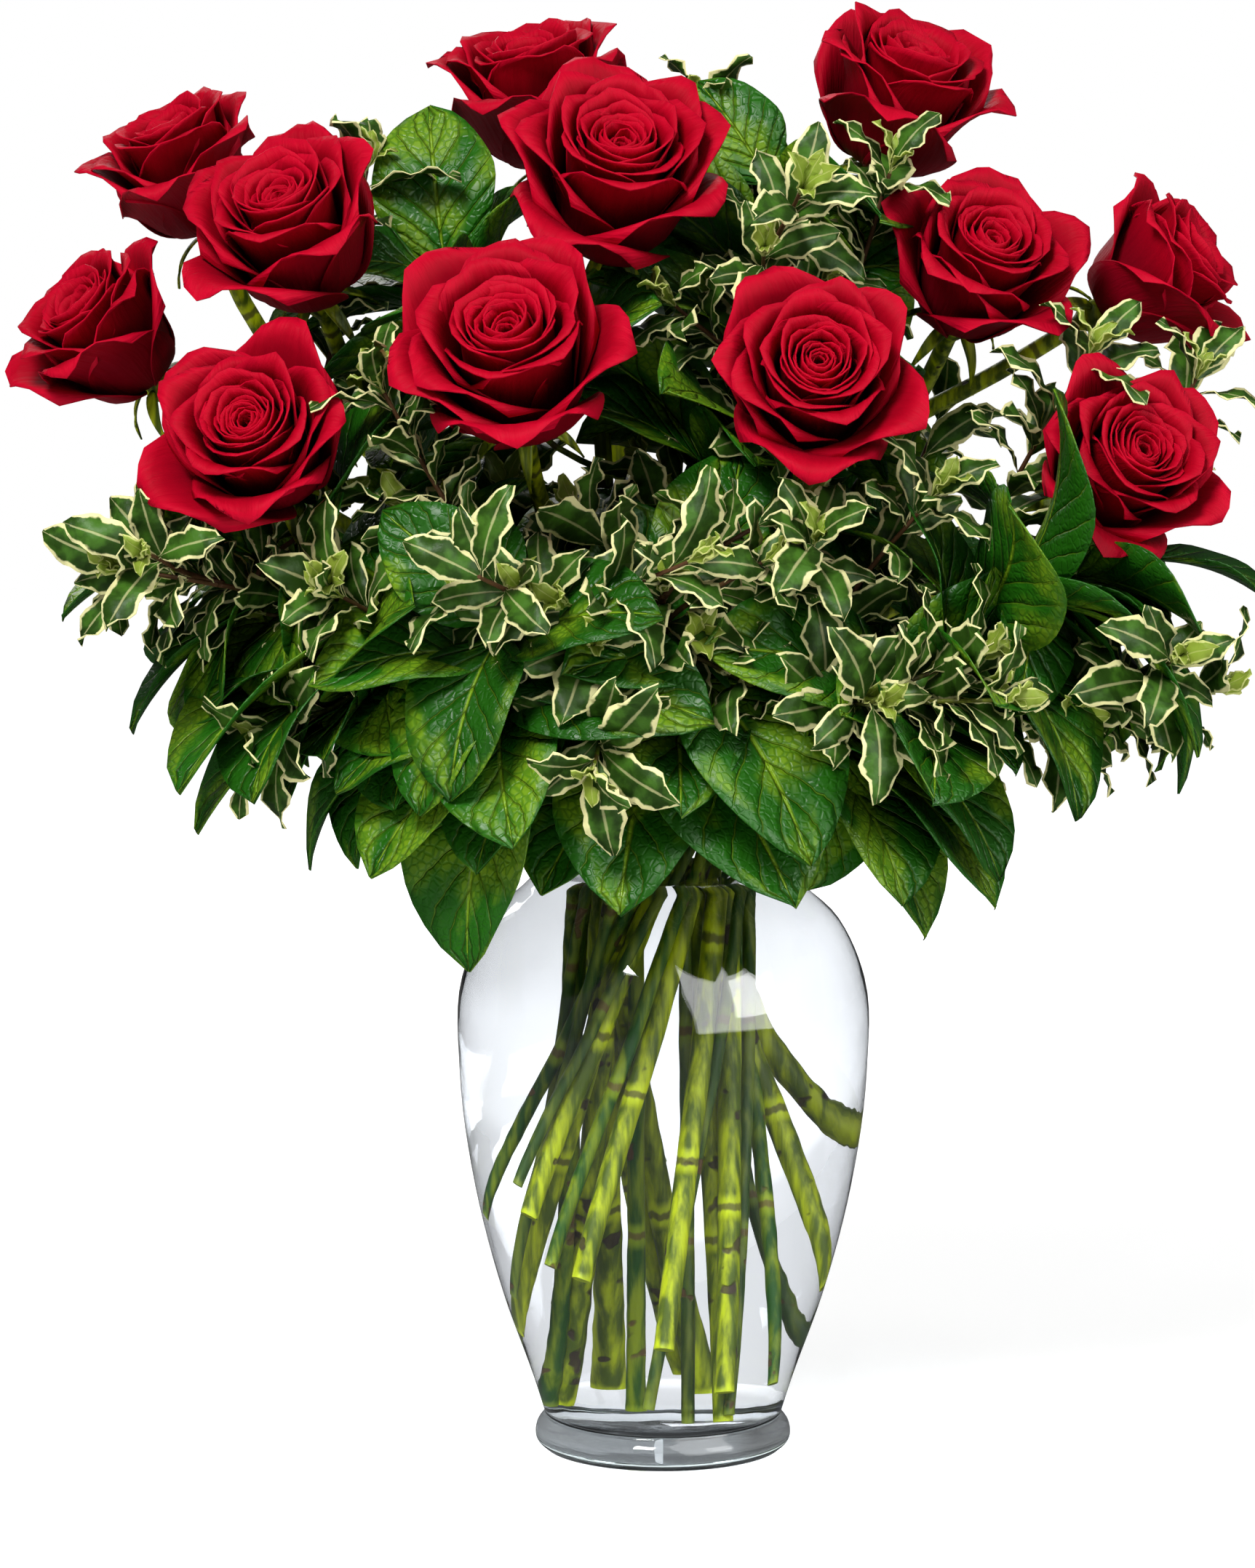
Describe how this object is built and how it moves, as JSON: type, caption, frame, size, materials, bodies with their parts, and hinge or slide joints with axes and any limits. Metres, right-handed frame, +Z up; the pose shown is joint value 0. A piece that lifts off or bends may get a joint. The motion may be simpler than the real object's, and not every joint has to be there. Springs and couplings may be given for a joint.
{
  "type": "roses in a vase",
  "caption": "Hand-tied red roses with broad glossy leaves and cream-edged sprigs, their stems crossed in a shouldered clear glass vase of water.",
  "frame": {"origin": "middle of the vase's flat underside, on the surface it stands on", "axes": "+Z up through the vase's mouth, -Y towards the viewer of the front, +X to the viewer's right"},
  "size_m": [0.4809, 0.2962, 0.5557],
  "materials": {
    "vase_glass": "clear blown glass, polished",
    "water": "clear water, still surface",
    "rose_petal": "soft satin petals",
    "rose_stem": "smooth green stem with dark scars",
    "salal_leaf": "leathery glossy leaf with pale veins",
    "pittosporum_leaf": "grey-green leaf with a cream margin"
  },
  "bodies": {
    "root": {"vase": "vase_glass", "water": "water", "rose_01_bloom": "rose_petal", "rose_01_stem": "rose_stem", "rose_02_bloom": "rose_petal", "rose_02_stem": "rose_stem", "rose_03_bloom": "rose_petal", "rose_03_stem": "rose_stem", "rose_04_bloom": "rose_petal", "rose_04_stem": "rose_stem", "rose_05_bloom": "rose_petal", "rose_05_stem": "rose_stem", "rose_06_bloom": "rose_petal", "rose_06_stem": "rose_stem", "rose_07_bloom": "rose_petal", "rose_07_stem": "rose_stem", "rose_08_bloom": "rose_petal", "rose_08_stem": "rose_stem", "rose_09_bloom": "rose_petal", "rose_09_stem": "rose_stem", "rose_10_bloom": "rose_petal", "rose_10_stem": "rose_stem", "rose_11_bloom": "rose_petal", "rose_11_stem": "rose_stem", "rose_12_bloom": "rose_petal", "rose_12_stem": "rose_stem", "salal_front_left": "salal_leaf", "salal_front": "salal_leaf", "salal_right": "salal_leaf", "salal_left": "salal_leaf", "salal_top": "salal_leaf", "salal_back": "salal_leaf", "pittosporum_front_left": "pittosporum_leaf", "pittosporum_front": "pittosporum_leaf", "pittosporum_front_right": "pittosporum_leaf", "pittosporum_left": "pittosporum_leaf", "pittosporum_right": "pittosporum_leaf", "pittosporum_top": "pittosporum_leaf", "pittosporum_back_left": "pittosporum_leaf", "pittosporum_back_right": "pittosporum_leaf"}
  },
  "joints": []
}
